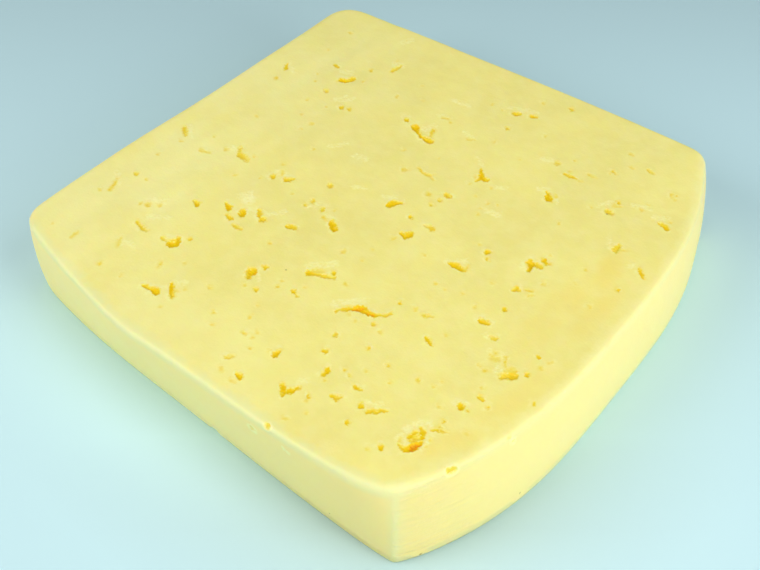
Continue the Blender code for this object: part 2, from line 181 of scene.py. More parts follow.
SOFT_EYES = (
    ((84, -85.5, 1.2), (85, -84.5, 1.0)), ((84, -87.5, 0.9),), ((88.5, -83, 0.4),),
    ((88.5, -77.5, 0.3), (90, -77, 0.3), (91, -76.5, 0.2)),
    ((87.5, -76.5, 0.5),), ((87, -74, 0.5),), ((-93, -53, 0.9),),
    ((-69.5, -73, 0.7), (-65, -74, 1.0), (-62.5, -74, 0.6)), ((-45.5, -66.5, 0.8),),
    ((-101.5, -17.5, 0.8), (-99.5, -19, 1.0), (-96.5, -21.5, 0.6)),
    ((-68.5, -16, 1.1), (-66, -16, 1.3), (-63.5, -16.5, 1.2)),
    ((-38, -49.5, 0.6), (-36, -49.5, 0.6), (-34.5, -49.5, 0.7)), ((-25, -6, 1.2),),
    ((-24, -18, 1.0),), ((-17.5, -19.5, 1.1),),
    ((-3.5, 26.5, 0.6), (-1.5, 25.5, 0.5), (0, 25, 0.4), (3, 25.5, 0.8), (6, 24.5, 0.3)),
    ((16, 15.5, 0.9),), ((15, 11, 0.9),), ((51.5, 0, 0.7),), ((60.5, 77.5, 0.6), (62, 77, 0.7)),
    ((72.5, 54, 1.1), (74.5, 54, 0.9)), ((87, 39, 0.9), (87, 36, 1.2)),
    ((-58.5, 75, 0.8), (-58, 78, 1.0), (-58, 81, 0.6)), ((-71.5, 43, 1.1),),
    ((78.5, -32, 0.7), (76.5, -32.5, 0.5)), ((6, -88.5, 0.5), (7.5, -88.5, 0.6)),
    ((10, -101, 0.4), (11, -100, 0.7), (12, -98.5, 0.4)), ((33, -68, 0.8),), ((46.5, -78.5, 0.6),),
    ((40, -55, 0.8),), ((46.5, -65.5, 0.6),), ((51, -39.5, 0.5), (52.5, -39, 0.6), (54, -38, 0.4)),
    ((57, -67, 0.6),), ((69, -65, 0.7),), ((90.5, -65, 0.5),),
    ((86.5, -37, 0.4), (87.5, -38.5, 0.4), (88.5, -40.5, 0.4)), ((95, -59.5, 0.6),),
    ((106, -48, 0.6),), ((48.5, -11, 0.6), (48.5, -8.5, 0.6)), ((72.5, -4.5, 0.4), (75, -3.5, 0.3)),
    ((-54, -73, 0.9), (-52, -73, 0.5)), ((-71.5, -12.5, 0.9), (-70.5, -14, 0.8)),
    ((24.5, -0.5, 1.0), (23, 0, 0.7), (21.5, -0.5, 0.6)), ((-24.5, -22, 0.8),), ((23, 103.5, 1.0),),
    ((71.5, 87.5, 0.5), (73, 87.5, 0.7), (74.5, 87, 0.5)), ((71.5, 13, 0.6),), ((-66.5, 69, 0.8),),
    ((-54, 39, 0.9),), ((-15, 51, 0.7), (-13.5, 47, 0.6)), ((9, 73, 0.8),),
)
FAINT_EYES = (
    ((-28, -89.5, 0.8),), ((-0.5, -63.5, 0.6),), ((4.5, -48.5, 0.8), (7, -46.5, 1.0)),
    ((18, -46, 0.5), (19.5, -46, 0.5)), ((60.5, -9.5, 0.6),), ((-10.5, -71, 0.7),),
    ((10.5, -88, 0.5),), ((12, -105.5, 0.5), (13.5, -106.5, 0.5)),
    ((18.5, -107.5, 0.3), (20.5, -107, 0.5)), ((44, -86, 0.5),), ((49.5, -79.5, 0.5),),
    ((49, -101, 0.5),), ((44.5, -107.5, 0.4), (46, -107, 0.4)), ((44.5, -56.5, 0.7),),
    ((47, -39, 0.8),), ((63.5, -42, 0.5),), ((89, -86, 0.4),), ((80.5, -89, 0.4), (81, -90, 0.3)), ((96, -73, 0.5),),
    ((92.5, -40.5, 1.2), (90, -42, 0.8)), ((82.5, -40.5, 0.9), (85, -39.5, 1.0)),
    ((99, -33.5, 0.7),), ((84, -47, 0.5), (85, -46, 0.5)), ((108.5, -65, 0.7),),
    ((39.5, -117, 0.8),), ((42.5, -113.5, 0.7),), ((82, -37.5, 0.6),),
    ((-93.5, -66.5, 0.9), (-95, -63, 0.7), (-96.5, -60, 0.8)), ((-96.5, -69.5, 0.6),),
    ((-74, -63, 1.2),), ((-70, -60, 0.8),),
    ((-82, -96, 0.6), (-82.5, -93.5, 0.7), (-82.5, -92, 0.6)),
    ((-64.5, -87, 0.6), (-66, -85.5, 0.6), (-67, -83.5, 0.5)), ((-62, -98.5, 0.7),),
    ((-44, -83, 0.9), (-43, -85.5, 0.5)), ((-84, -24.5, 0.6), (-81.5, -24, 0.5), (-79.5, -23, 0.6)),
    ((-75.5, -17, 1.1),), ((-19.5, -48, 0.6),), ((-96, 35.5, 0.9),),
    ((-45, -14, 0.5), (-46.5, -12, 0.5)), ((-14, -23, 0.6), (-12.5, -23, 0.6), (-11, -23.5, 0.5)),
    ((5.5, -33.5, 0.6), (6, -32.5, 0.8)), ((0.5, 55.5, 0.6), (1.5, 56, 0.7), (2.5, 57, 0.6)),
    ((-16.5, 32, 0.6),), ((-8, 21.5, 0.9), (-7, 22.5, 0.8)), ((10, 15.5, 1.0),), ((33, 19, 0.6),),
    ((39.5, 67, 1.2),), ((46.5, 66, 0.6),), ((54, 69, 0.7), (55.5, 69, 0.5), (57.5, 69.5, 0.4)),
    ((51, 48.5, 0.8),), ((87, 80.5, 0.6), (88, 78.5, 0.6)),
    ((72.5, 58.5, 0.4), (74, 59.5, 0.4), (75.5, 60.5, 0.3)), ((82.5, 63.5, 0.7),),
    ((95, 64.5, 0.7),), ((89, 37.5, 0.5), (91, 39, 0.4)), ((69, 17.5, 0.4),), ((-95, 87, 0.9),),
    ((-60, 20, 0.6), (-59, 20.5, 0.6)), ((-17.5, 61, 0.5), (-16, 61.5, 0.6), (-14.5, 62, 0.4)),
    ((-13, 60.5, 0.6),),
)

# Pale patches beside the eyes, where the paste is also lifted a little, as chains too
PALE_TORN = (
    ((-74.5, -15, 1.3), (-70.5, -13.5, 1.3)), ((-30, 15.5, 1.3), (-25, 16.5, 1.3)),
    ((-49, -35, 1.3), (-46.5, -31.5, 1.3)),
    ((-34.5, -37, 1.0), (-31, -34, 1.0), (-28, -30.5, 1.0)),
    ((-48.5, -14.5, 1.1), (-44, -12.5, 1.1)), ((-24, -22.5, 1.2), (-21.5, -18, 1.2)),
    ((-14, -21.5, 1.0), (-9.5, -20.5, 1.0)), ((-69, -68, 1.0), (-61.5, -63.5, 1.0)),
    ((-55, -72, 0.8), (-49, -68.5, 0.8)), ((1, -48, 1.4), (8, -40, 1.4)),
    ((-31, -87.5, 1.2), (-28.5, -84.5, 1.2)), ((-12.5, -61.5, 0.7), (-8.5, -65.5, 0.7)),
    ((-64, 41, 1.4), (-61, 45.5, 1.4)), ((-42.5, 13, 0.9), (-38, 19.5, 0.9)),
    ((-3, 3, 1.0), (1, 5.5, 1.0)), ((-17.5, -0.5, 0.8), (-13, 1.5, 0.8)),
    ((-100.5, -15, 0.9), (-94, -20, 0.9)), ((40, -11.5, 1.0), (46, -6.5, 1.0)),
    ((63, 7.5, 0.8), (65, 4.5, 0.8)), ((69, 9.5, 1.0), (68.5, 12, 1.0)),
    ((80.5, -38, 1.3), (83.5, -37.5, 1.3), (86.5, -37, 1.3)),
    ((87.5, -44.5, 0.9), (87.5, -42.5, 0.9)), ((74.5, -33.5, 0.8), (78.5, -30.5, 0.8)),
    ((79.5, -89.5, 0.9), (79.5, -85.5, 0.9), (80, -81.5, 0.9), (82, -78.5, 1.0), (84.5, -77.5, 1.0)),
    ((88.5, -88, 0.8), (88.5, -84.5, 0.8), (87.5, -81.5, 0.8)),
    ((84.5, -65, 0.7), (89, -62, 0.7)), ((62, -84.5, 0.7), (66.5, -81.5, 0.7)),
    ((22, -56.5, 1.3), (26, -52, 1.3), (30, -47.5, 1.3)), ((-100, -57.5, 1.1), (-94, -61.5, 1.1)),
    ((-76.5, -61, 0.8), (-70, -57, 0.8)), ((-64.5, -85, 1.2), (-59.5, -83, 1.2)),
    ((37.5, -93, 0.8), (39.5, -90, 0.8)), ((34.5, 22.5, 1.2), (40, 24, 1.2)),
    ((-19.5, 61.5, 1.0), (-15, 63, 1.0)), ((-3.5, 58.5, 1.2), (1, 58.5, 1.2)),
    ((33, 65.5, 1.0), (37, 67.5, 1.0)), ((43, 48, 1.1), (45.5, 49, 1.1)),
    ((51.5, 49, 0.8), (53.5, 45, 0.8)), ((67.5, 54.5, 0.8), (70.5, 60, 0.8)),
    ((78, 64, 0.9), (85, 67, 0.9)), ((88.5, 63, 0.9), (93, 66, 0.9)),
    ((82, 39.5, 0.8), (85.5, 35, 0.8)), ((96, 32, 0.8), (97.5, 34, 0.8)),
    ((11.5, 48, 0.7), (16.5, 44.5, 0.7)), ((29, 37.5, 0.8), (32, 39.5, 0.8)),
    ((-76, 59, 1.2), (-72.5, 62, 1.2)), ((-61.5, 80, 1.2), (-56.5, 81, 1.2)),
    ((-96.5, 46, 1.0), (-92.5, 44, 1.0)), ((-70, 97.5, 1.5), (-68, 101.5, 1.5)),
    ((-33, 52, 1.0), (-30, 52.5, 1.0)), ((-21.5, 75, 1.2), (-14, 76, 1.2)),
    ((-60.5, 42, 0.9), (-58, 47, 0.9)), ((-19, 49.5, 1.3), (-17, 54, 1.3)),
    ((1, 86.5, 0.9), (5, 89, 0.9)), ((7.5, 90, 0.9), (11.5, 92, 0.9)),
)

# Small pits and chips at the rim and on the walls: x, y, z, their size, and how deep they are.
# A chip with no depth is only pale.
WALL_PITS = (
    (101.2, -86.9, 36.9, 1.7, 0.7),
    (100.7, -88.3, 37.1, 1.5, 0.7),
    (42.6, -113.5, 37.6, 1.3, 0.7),
    (107.2, -62.8, 34.8, 1.5, 0.5),
    (35.3, -113.6, 31.3, 1.6, 0.3),
    (49.8, -113.2, 32.0, 1.6, 0.0),
    (51.9, -113.1, 31.2, 1.5, 0.0),
    (-44.5, -34.5, 38.0, 3.8, 0.0),
)

# Dark specks on the paste: x, y, z and half width
SPECKS = (
    (99.2, -100.5, 1.4, 0.6),
    (111.9, -60.1, 4.5, 0.4),
    (66.8, -110.3, 6.3, 0.35),
    (-4.2, -54.8, 38.0, 0.35),
    (73.0, 52.6, 38.0, 0.35),
)

# Warm patches on the top beside the right front rim: x, y, length, width and turn
WARM_PATCHES = (
    (99.0, 2.0, 44.0, 11.0, 92.0),
    (101.0, -47.0, 44.0, 12.0, 76.0),
    (94.0, -80.0, 26.0, 9.0, 62.0),
    (92.0, 24.0, 40.0, 12.0, 100.0),
    (88.0, -8.0, 60.0, 16.0, 90.0),
)

# For each kind of eye: its depth for each millimetre of half width, its least and its most
# depth, how amber it is, and how soft its edge is
DEEPEST = (0.7, 0.7, 1.2, 1.9, 1.0)
DARK = (0.5, 0.35, 0.8, 1.15, 1.2)
MIDDLING = (0.45, 0.3, 0.6, 0.88, 1.15)
SOFT = (0.35, 0.15, 0.35, 0.6, 1.4)
FAINT = (0.25, 0.08, 0.15, 0.45, 1.5)
# How far the amber spreads beyond the edge of an eye
SPREAD = 0.12
# An eye is this much as amber at its last place as at its first, and on its weaker side, away from the camera; its
# richer amber toward the camera is painted shade
FADE_ALONG = 0.6
FADE_ACROSS = 0.6

FAINT_COUNT = 100
FAINT_SPREAD = 100.0

NICK_X = 7.3
NICK_LENGTH = 5.0
NICK_DEPTH = 2.0
NICK_HEIGHT = 1.8


class CheeseSizes(bpy.types.PropertyGroup):
    """Sizes of the eyes and of the surface."""

    edge_tear: FloatProperty(
        name="Edge tear",
        description="How far the edge of an eye wanders from its smooth outline, in millimetres",
        default=0.3,
        min=0.0,
        max=1.0,
    )
    lip_height: FloatProperty(
        name="Lip height",
        description="How far the lip on the far side of an eye stands up, in millimetres",
        default=0.06,
        min=0.0,
        max=0.5,
    )
    rim_wear: FloatProperty(
        name="Rim wear",
        description="How far the rim wanders in and out, in millimetres",
        default=0.25,
        min=0.0,
        max=1.0,
    )
    seed: IntProperty(name="Seed", description="Start of every random draw", default=7)


class CheeseColors(bpy.types.PropertyGroup):
    """Colours of the paste and of the stage, in linear light."""

    top: FloatVectorProperty(
        name="Top",
        description="Paste on the top face",
        subtype="COLOR",
        size=3,
        default=(0.905, 0.845, 0.275),
    )
    wall: FloatVectorProperty(
        name="Wall",
        description="Paste on the sides",
        subtype="COLOR",
        size=3,
        default=(1.0, 0.85, 0.33),
    )
    # Also the colour of the painted highlights: the halos on the far side of the eyes and the band along the right
    # front rim
    pale: FloatVectorProperty(
        name="Pale lip",
        description="Paste on the lips and slopes round the eyes",
        subtype="COLOR",
        size=3,
        default=(1.0, 0.98, 0.47),
    )
    amber: FloatVectorProperty(
        name="Amber",
        description="Paste inside an eye",
        subtype="COLOR",
        size=3,
        default=(0.84, 0.59, 0.0),
    )
    soft_amber: FloatVectorProperty(
        name="Soft amber",
        description="Paste inside a shallow eye",
        subtype="COLOR",
        size=3,
        default=(0.88, 0.73, 0.08),
    )
    deep_amber: FloatVectorProperty(
        name="Deep amber",
        description="Paste at the bottom of a deep eye",
        subtype="COLOR",
        size=3,
        default=(0.88, 0.38, 0.0),
    )
    warm: FloatVectorProperty(
        name="Warm",
        description="Warm patches on the top beside the bowed side",
        subtype="COLOR",
        size=3,
        default=(0.93, 0.76, 0.17),
    )
    corner: FloatVectorProperty(
        name="Corner",
        description="Warmer paste on the sides beside the front corner",
        subtype="COLOR",
        size=3,
        default=(0.93, 0.70, 0.26),
    )
    # Painted highlight: the colour of the lit line along the rim and of the band beside the left front rim
    rim: FloatVectorProperty(
        name="Rim",
        description="The thin pale line of the rim",
        subtype="COLOR",
        size=3,
        default=(0.82, 0.88, 0.46),
    )
    speck: FloatVectorProperty(
        name="Speck",
        description="Dark specks on the paste",
        subtype="COLOR",
        size=3,
        default=(0.30, 0.25, 0.07),
    )
    floor: FloatVectorProperty(
        name="Floor",
        description="The floor that the slab stands on",
        subtype="COLOR",
        size=3,
        default=(0.585, 0.86, 0.94),
    )


def mix(a, b, share):
    return a + (b - a) * share


def smooth(t):
    t = np.clip(t, 0.0, 1.0)
    return t * t * (3 - 2 * t)


def offset_corners(corners, insets):
    """The corners after each side has moved in by its own inset, along its straight chord."""
    moved = []
    for n in range(4):
        before, here, after = (Vector(corners[k % 4]) for k in (n - 1, n, n + 1))
        chord_in = (here - before).normalized()
        chord_out = (after - here).normalized()
        turn = chord_in.x * chord_out.y - chord_in.y * chord_out.x
        slide = chord_out * insets[(n - 1) % 4] - chord_in * insets[n]
        moved.append(here + slide * (1 / turn))
    return moved


def side_point(start, end, bow, skew, ripple, early, late, bump, share):
    """A point on a bowed side, at its share of the way from corner to corner."""
    along = end - start
    outward = Vector((along.y, -along.x)).normalized()
    hump = 4 * bow * share * (1 - share)
    lean = 16 * skew * share * (1 - share) * (share - 0.5)
    wave = ripple * math.sin(3 * math.pi * share)
    from_start = along.length * share / BULGE_REACH
    from_end = along.length * (1 - share) / BULGE_REACH
    bulge = early * from_start * math.exp(1 - from_start)
    bulge += late * from_end * math.exp(1 - from_end)
    bulge += bump * math.exp(-(((share - BUMP_SHARE) / BUMP_SPREAD) ** 2))
    return start + along * share + outward * (hump + lean + wave + bulge)


def corner_arc(side, next_side, count):
    """The points between two sides, on a curve that leaves each along its own tangent."""
    start, end = side[-1], next_side[0]
    leaving = (side[-1] - side[-2]).normalized()
    arriving = (next_side[1] - next_side[0]).normalized()
    gap = end - start
    turn = leaving.x * arriving.y - leaving.y * arriving.x
    crossing = start + leaving * ((gap.x * arriving.y - gap.y * arriving.x) / turn)
    shares = [k / (count + 1) for k in range(1, count + 1)]
    return [start * (1 - t) ** 2 + crossing * (2 * t * (1 - t)) + end * t * t for t in shares]


def outline(level, insets=(0, 0, 0, 0), top_share=0.0):
    """The stations of the outline at a share of the height, counterclockwise.

    Station 0 is the middle of the left corner, and every SIDE_CELLS further is the middle of
    the next corner. The top share is how far the corners have gone over to the top's rounding.
    """
    corners = [Vector(a).lerp(Vector(b), level) for a, b in zip(FOOT_CORNERS, RIM_CORNERS)]
    corners = offset_corners(corners, insets)
    bends = [[mix(a, b, level) for a, b in zip(*pair)] for pair in zip(FOOT_BENDS, RIM_BENDS)]
    roundings = [
        max(mix(a, b, level) - max(insets[n - 1], insets[n]), LEAST_ROUNDING)
        + TOP_ROUNDING[n] * top_share
        for n, (a, b) in enumerate(zip(FOOT_ROUNDING, RIM_ROUNDING))
    ]
    steps = SIDE_CELLS - 2 * CORNER_CELLS
    sides = []
    for n in range(4):
        start, end = corners[n], corners[(n + 1) % 4]
        length = (end - start).length
        first = roundings[n] / length
        last = 1 - roundings[(n + 1) % 4] / length
        shares = [mix(first, last, k / steps) for k in range(steps + 1)]
        sides.append([side_point(start, end, *bends[n], share) for share in shares])
    stations = []
    for n in range(4):
        stations += sides[n]
        stations += corner_arc(sides[n], sides[(n + 1) % 4], 2 * CORNER_CELLS - 1)
    turned = stations[-CORNER_CELLS:] + stations[:-CORNER_CELLS]
    return np.array([tuple(p) for p in turned])


def wave_at(places, wavelength, offset=0.0):
    """Smooth noise between -1 and 1 at each place, repeating about every wavelength."""
    shift = Vector((offset, offset * 0.7, offset * 1.3))
    return np.array([noise.noise(Vector(p) / wavelength + shift) for p in places])


def only(obj):
    """Makes this the only selected object, and the active one."""
    bpy.ops.object.select_all(action="DESELECT")
    obj.select_set(True)
    bpy.context.view_layer.objects.active = obj


def coordinates(mesh):
    flat = np.empty(len(mesh.vertices) * 3)
    mesh.vertices.foreach_get("co", flat)
    return flat.reshape(-1, 3)


def set_coordinates(mesh, places):
    mesh.vertices.foreach_set("co", places.ravel())
    mesh.update()


def select_open_edges(obj):
    """In edit mode, selects the open border of the mesh and nothing else."""
    bpy.ops.mesh.select_mode(type="EDGE")
    bpy.ops.mesh.select_all(action="DESELECT")
    bm = bmesh.from_edit_mesh(obj.data)
    for edge in bm.edges:
        edge.select_set(edge.is_boundary)
    bmesh.update_edit_mesh(obj.data)


def plateau(places, edge):
    """Spreads a grid of -1 to 1 over the flat of the top, between its four sides."""
    n = SIDE_CELLS
    u, v = ((places[:, 0] + 1) / 2)[:, None], ((places[:, 1] + 1) / 2)[:, None]
    column = np.rint(u[:, 0] * n).astype(int)
    row = np.rint(v[:, 0] * n).astype(int)
    low, right = edge[column], edge[n + row]
    high, left = edge[3 * n - column], edge[(4 * n - row) % (4 * n)]
    spread = (1 - v) * low + v * high + (1 - u) * left + u * right
    bilinear = (1 - u) * (1 - v) * edge[0] + u * (1 - v) * edge[n]
    bilinear += u * v * edge[2 * n] + (1 - u) * v * edge[3 * n]
    return spread - bilinear


def station_of(places):
    """The station of each border vertex of the grid, and -1 for those inside."""
    n = SIDE_CELLS
    column = np.rint((places[:, 0] + 1) / 2 * n).astype(int)
    row = np.rint((places[:, 1] + 1) / 2 * n).astype(int)
    station = np.full(len(places), -1)
    station[row == 0] = column[row == 0]
    station[column == n] = n + row[column == n]
    station[row == n] = 3 * n - column[row == n]
    on_left = (column == 0) & (row > 0)
    station[on_left] = 4 * n - row[on_left]
    return station


def droop(places_2d, share):
    """How far the rim hangs down near the front corner, for its share of the full drop."""
    distance = np.hypot(*(places_2d - np.array(RIM_CORNERS[1])).T)
    return CORNER_DROOP * share * np.exp(-((distance / DROOP_REACH) ** 2))


def ring_places():
    """The rings below the flat of the top, from the rim down to the foot, in millimetres."""
    rings = []
    for step in range(RIM_STEPS - 1, -1, -1):
        angle = math.pi / 2 * step / RIM_STEPS
        turned_in = 1 - math.cos(angle)
        insets = [inset * turned_in for inset in RIM_INSET]
        share = 1 - math.sin(angle)
        ring = outline(1, insets, turned_in)
        rings.append((ring, THICKNESS - RIM_DROP * share - droop(ring, share)))
    for step in range(1, WALL_STEPS + 1):
        level = 1 - (step / WALL_STEPS) ** WALL_CROWDING
        ring = outline(level)
        height = mix(FOOT_EDGE, THICKNESS - RIM_DROP, level)
        rings.append((ring, height - droop(ring, level**DROOP_FADE)))
    rings.append((outline(0, (FOOT_EDGE,) * 4), np.zeros(4 * SIDE_CELLS)))
    return rings


def make_slab():
    """The plain slab: a grid spread over the top, with its border extruded ring by ring."""
    bpy.ops.object.select_all(action="DESELECT")
    bpy.ops.mesh.primitive_grid_add(x_subdivisions=SIDE_CELLS, y_subdivisions=SIDE_CELLS, size=2)
    slab = bpy.context.object
    slab.name = "cheese_slab"
    slab.data.name = "cheese_slab"
    places = coordinates(slab.data)
    stations = station_of(places)
    edge = outline(1, RIM_INSET, 1.0)
    places[:, :2] = plateau(places, edge)
    places[:, 2] = THICKNESS
    set_coordinates(slab.data, places * MM)
    station = slab.data.attributes.new("station", "INT", "POINT")
    station.data.foreach_set("value", stations.astype(np.int32))
    ring_number = slab.data.attributes.new("ring", "INT", "POINT")
    ring_number.data.foreach_set("value", np.zeros(len(places), np.int32))
    for number, (places_2d, heights) in enumerate(ring_places(), start=1):
        lower_border(slab, places_2d, heights, number)
    bpy.ops.object.mode_set(mode="EDIT")
    select_open_edges(slab)
    bpy.ops.mesh.edge_face_add()
    bpy.ops.mesh.select_all(action="SELECT")
    bpy.ops.mesh.normals_make_consistent(inside=False)
    bpy.ops.object.mode_set(mode="OBJECT")
    return slab


def lower_border(slab, places_2d, heights, number):
    """Extrudes the open border and moves it onto the next ring."""
    before = len(slab.data.vertices)
    bpy.ops.object.mode_set(mode="EDIT")
    select_open_edges(slab)
    bpy.ops.mesh.extrude_edges_move()
    bpy.ops.object.mode_set(mode="OBJECT")
    count = len(slab.data.vertices)
    stations = np.empty(count, np.int32)
    slab.data.attributes["station"].data.foreach_get("value", stations)
    rings = np.empty(count, np.int32)
    slab.data.attributes["ring"].data.foreach_get("value", rings)
    rings[before:] = number
    slab.data.attributes["ring"].data.foreach_set("value", rings)
    places = coordinates(slab.data)
    places[before:, :2] = places_2d[stations[before:]] * MM
    places[before:, 2] = heights[stations[before:]] * MM
    set_coordinates(slab.data, places)


def squeezed(places):
    """The places with their spread along AWAY made less, since the eyes are longer that way."""
    away = np.array(AWAY)
    return places - (1 - AWAY_SQUEEZE) * np.outer(places @ away, away)


def chain_distance(points, chain):
    """For each point: its distance to the chain as a share of the half width there, that half
    width, its offset from the nearest place on the chain, and how far along that place is."""
    points = squeezed(points)
    spots = squeezed(np.array(chain)[:, :2])
    chain = [(x, y, spot[2]) for (x, y), spot in zip(spots, chain)]
    best = np.full(len(points), np.inf)
    width = np.ones(len(points))
    offset = np.zeros((len(points), 2))
    progress = np.zeros(len(points))
    links = list(zip(chain, chain[1:])) or [(chain[0], chain[0])]
    for number, (a, b) in enumerate(links):
        start, end = np.array(a[:2]), np.array(b[:2])
        along = end - start
        reach = max(float(along @ along), 1e-9)
        t = np.clip((points - start) @ along / reach, 0, 1)
        near = start + t[:, None] * along
        half = mix(a[2], b[2], t)
        away = points - near
        share = np.hypot(away[:, 0], away[:, 1]) / half
        closer = share < best
        best[closer] = share[closer]
        width[closer] = half[closer]
        offset[closer] = away[closer]
        progress[closer] = (number + t[closer]) / len(chain)
    return best, width, offset, progress


def near_chain(points, chain, reach):
    """The indices of the points within reach of the chain's box."""
    spots = np.array(chain)
    low = (spots[:, :2] - spots[:, 2:]).min(axis=0) - reach
    high = (spots[:, :2] + spots[:, 2:]).max(axis=0) + reach
    inside = (points > low).all(axis=1) & (points < high).all(axis=1)
    return np.nonzero(inside)[0]


def all_chains(seed):
    """Every eye with its kind."""
    kinds = (
        (DEEPEST_EYES, DEEPEST),
        (DARK_EYES, DARK),
        (MIDDLING_EYES, MIDDLING),
        (SOFT_EYES, SOFT),
        (FAINT_EYES + tuple(faint_marks(seed)), FAINT),
    )
    return [(chain, kind) for chains, kind in kinds for chain in chains]


def faint_marks(seed):
    """Small faint marks strewn over the whole top, each one a short chain."""
    draw = np.random.default_rng(seed)
    marks = []
    for _ in range(FAINT_COUNT):
        x, y = draw.uniform(-FAINT_SPREAD, FAINT_SPREAD, 2)
        width = draw.uniform(0.35, 0.6)
        angle, length = draw.uniform(0, math.pi), draw.exponential(0.6)
        end = (x + length * math.cos(angle), y + length * math.sin(angle), width * 0.7)
        marks.append(((x, y, width), end))
    return marks


def split_near_eyes(slab, seed):
    """Subdivides the faces of the top round every eye, each time nearer to its edge.

    The faint marks and the pale paste go without the last, finest split.
    """
    chains = all_chains(seed)
    clear = [chain for chain, kind in chains if kind != FAINT]
    every = [chain for chain, _ in chains] + list(PALE_TORN)
    for reach in SPLIT_REACHES:
        mesh = slab.data
        middles = np.empty(len(mesh.polygons) * 3)
        mesh.polygons.foreach_get("center", middles)
        middles = middles.reshape(-1, 3) / MM
        on_top = middles[:, 2] > THICKNESS - RIM_DROP
        at_pits = np.zeros(len(middles), bool)
        for x, y, z, size, _ in WALL_PITS:
            at_pits |= np.linalg.norm(middles - (x, y, z), axis=1) < size + reach
        for x, y, z, half in SPECKS:
            at_pits |= np.linalg.norm(middles - (x, y, z), axis=1) < half + reach
        wanted = np.zeros(len(middles), bool)
        for chain in clear if reach == SPLIT_REACHES[-1] else every:
            some = near_chain(middles[:, :2], chain, reach)
            share, half, _, _ = chain_distance(middles[some, :2], chain)
            wanted[some[share * half - half < reach]] = True
        bpy.ops.object.mode_set(mode="EDIT")
        bpy.ops.mesh.select_mode(type="FACE")
        bpy.ops.mesh.select_all(action="DESELECT")
        bm = bmesh.from_edit_mesh(mesh)
        bm.faces.ensure_lookup_table()
        for index in np.nonzero((wanted & on_top) | at_pits)[0]:
            bm.faces[index].select_set(True)
        bmesh.update_edit_mesh(mesh)
        bpy.ops.mesh.subdivide(number_cuts=1)
        bpy.ops.object.mode_set(mode="OBJECT")


def carve(places, sizes):
    """How far each place of the top sinks, and how amber and how pale it is there; the pale share includes a painted
    highlight on the far side of each eye.
    """
    flat = places[:, :2]
    coarse = np.stack([wave_at(places, 2.1, 3.1), wave_at(places, 2.1, 9.4)], axis=1)
    fine = np.stack([wave_at(places, 0.8, 5.2), wave_at(places, 0.8, 1.8)], axis=1)
    tiny = np.stack([wave_at(places, 0.45, 7.7), wave_at(places, 0.45, 2.9)], axis=1)
    torn = flat + sizes.edge_tear * (coarse * 1.6 + fine * 1.7 + tiny * 0.7)
    crumb = wave_at(places, 0.75, 14.2)
    patch = wave_at(places, 2.6, 20.6)
    fleck = wave_at(places, 0.9, 41.3)
    away = np.array(AWAY)
    draw = np.random.default_rng(sizes.seed)
    sunk = np.zeros(len(places))
    lift = np.zeros(len(places))
    amber = np.zeros(len(places))
    pale = np.zeros(len(places))
    for chain, (depth_per_width, least, most, strength, softness) in all_chains(sizes.seed):
        toward = turned(-away, draw.uniform(-1.2, 1.2))
        highlight_way = turned(away, draw.uniform(-0.5, 1.0))
        some = near_chain(flat, chain, 7.0)
        if not len(some):
            continue
        widest = max(spot[2] for spot in chain)
        depth = min(max(depth_per_width * widest, least), most)
        share, half, offset, progress = chain_distance(torn[some], chain)
        low_side = np.clip(offset @ toward / half, -1, 1)
        outside = (share - 1) * half
        slope = softness * mix(1.7, 0.9, (low_side + 1) / 2)
        inside = smooth(0.25 - outside / slope)
        sunk[some] = np.maximum(sunk[some], depth * inside * (1 + 0.25 * crumb[some]))
        # Painted shade: over the eye's own amber, the amber grows richer on the side toward the camera, as if the
        # near wall shaded the hollow
        core = smooth(0.5 - (outside + 0.12 * low_side - SPREAD * softness) / (0.8 * slope))
        torn_off = smooth((fleck[some] - 0.2) / 0.2) * smooth((share - 0.3) / 0.3)
        richness = (1 - 0.5 * torn_off) * (1 + 0.3 * patch[some]) * mix(1, FADE_ALONG, progress)
        richness *= mix(FADE_ACROSS, 1.1, (low_side + 1) / 2)
        amber[some] = np.maximum(amber[some], strength * core * richness)
        # Painted highlight: a pale halo on the far side of each eye, where its lip faces the camera and the light
        outside = np.clip(outside, 0, None)
        lean = smooth((offset @ highlight_way / half + 1.4) / 2.6)
        reach = mix(0.6, 1.0 + 0.7 * widest, lean) * (0.8 + 1.1 * patch[some]).clip(0.3, None)
        halo = min(0.3 + 0.35 * strength, 0.65) * np.exp(-((outside / reach) ** 2))
        pale[some] = np.maximum(pale[some], halo)
        bank = np.exp(-(((outside - 0.6) / 0.4) ** 2)) * lean
        lift[some] = np.maximum(lift[some], strength * sizes.lip_height * bank)
    for chain in PALE_TORN:
        some = near_chain(flat, chain, 4.0)
        share, half, _, _ = chain_distance(torn[some] + 0.5 * coarse[some], chain)
        torn_up = smooth(0.6 - (share - 1) * half / 1.6) * (0.55 + 0.6 * crumb[some])
        pale[some] = np.maximum(pale[some], torn_up)
        lift[some] = np.maximum(lift[some], 3 * sizes.lip_height * crumb[some] * torn_up)
    return sunk - lift * (amber < 0.3), amber, np.clip(pale, 0, 1)


def turned(vector, angle):
    """The flat vector after a turn by the angle."""
    along, across = np.array(vector), np.array((-vector[1], vector[0]))
    return along * math.cos(angle) + across * math.sin(angle)


def set_float_attribute(mesh, name, values):
    attribute = mesh.attributes.new(name, "FLOAT", "POINT")
    attribute.data.foreach_set("value", values.astype(np.float32))


